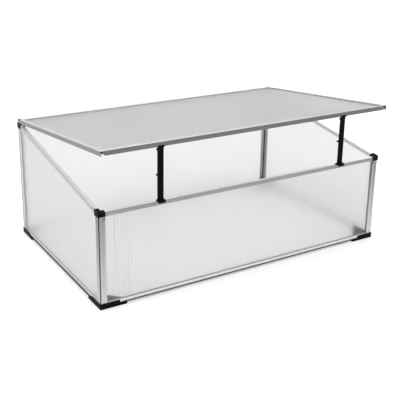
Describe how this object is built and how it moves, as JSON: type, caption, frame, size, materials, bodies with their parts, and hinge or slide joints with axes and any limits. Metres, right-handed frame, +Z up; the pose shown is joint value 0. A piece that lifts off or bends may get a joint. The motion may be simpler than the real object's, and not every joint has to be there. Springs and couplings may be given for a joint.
{
  "type": "cold frame",
  "caption": "Low sloping cold frame of aluminium and twin-wall panels, with a hinged lid held open by hooked stays.",
  "frame": {"origin": "on the ground, under the middle of the part's bounding box with the lid propped open", "axes": "+X to the right as seen from the front, +Y to the back, where the hinge is, +Z up"},
  "size_m": [1, 0.646, 0.4635],
  "materials": {
    "aluminium_extrusion": "satin mill finish",
    "twin_wall": "clear twin-wall sheet",
    "black_plastic": "matte black",
    "screw_steel": "dark satin"
  },
  "bodies": {
    "box": {"front_left_post": "aluminium_extrusion", "front_right_post": "aluminium_extrusion", "rear_left_post": "aluminium_extrusion", "rear_right_post": "aluminium_extrusion", "front_bottom_rail": "aluminium_extrusion", "rear_bottom_rail": "aluminium_extrusion", "left_bottom_rail": "aluminium_extrusion", "right_bottom_rail": "aluminium_extrusion", "front_top_rail": "aluminium_extrusion", "rear_top_rail": "aluminium_extrusion", "left_slope_rail": "aluminium_extrusion", "right_slope_rail": "aluminium_extrusion", "front_panel": "twin_wall", "rear_panel": "twin_wall", "left_panel": "twin_wall", "right_panel": "twin_wall", "front_left_cap": "black_plastic", "front_right_cap": "black_plastic", "rear_left_cap": "black_plastic", "rear_right_cap": "black_plastic", "front_left_foot": "black_plastic", "front_right_foot": "black_plastic", "rear_left_foot": "black_plastic", "rear_right_foot": "black_plastic", "post_clamp_screws": "screw_steel", "foot_screws": "screw_steel"},
    "lid": {"lid_front_rail": "aluminium_extrusion", "lid_rear_rail": "aluminium_extrusion", "lid_left_rail": "aluminium_extrusion", "lid_right_rail": "aluminium_extrusion", "lid_panel": "twin_wall", "lid_rear_left_plug": "black_plastic", "lid_rear_right_plug": "black_plastic", "lid_front_left_key": "black_plastic", "lid_front_right_key": "black_plastic", "lid_rear_left_key": "black_plastic", "lid_rear_right_key": "black_plastic", "lid_key_screws": "screw_steel", "left_stay_bracket": "black_plastic", "right_stay_bracket": "black_plastic", "left_stay_pin": "screw_steel", "right_stay_pin": "screw_steel"},
    "left_stay_body": {"left_stay": "black_plastic"},
    "right_stay_body": {"right_stay": "black_plastic"}
  },
  "joints": [
    {"name": "lid_hinge", "type": "hinge", "parent": "box", "child": "lid", "pos_m": [0, 0.31453, 0.38695], "axis": [-1, 0, 0], "range_deg": [-15, 68.8]},
    {"name": "left_stay_hinge", "type": "hinge", "parent": "lid", "child": "left_stay_body", "pos_m": [-0.32, -0.31103, 0.44304], "axis": [-1, 0, 0], "range_deg": [-68.8, 15]},
    {"name": "right_stay_hinge", "type": "hinge", "parent": "lid", "child": "right_stay_body", "pos_m": [0.32, -0.31103, 0.44304], "axis": [-1, 0, 0], "range_deg": [-68.8, 15]}
  ],
  "couplings": [
    {"joint": "left_stay_hinge", "follows": "lid_hinge", "ratio": -1},
    {"joint": "right_stay_hinge", "follows": "lid_hinge", "ratio": -1}
  ]
}
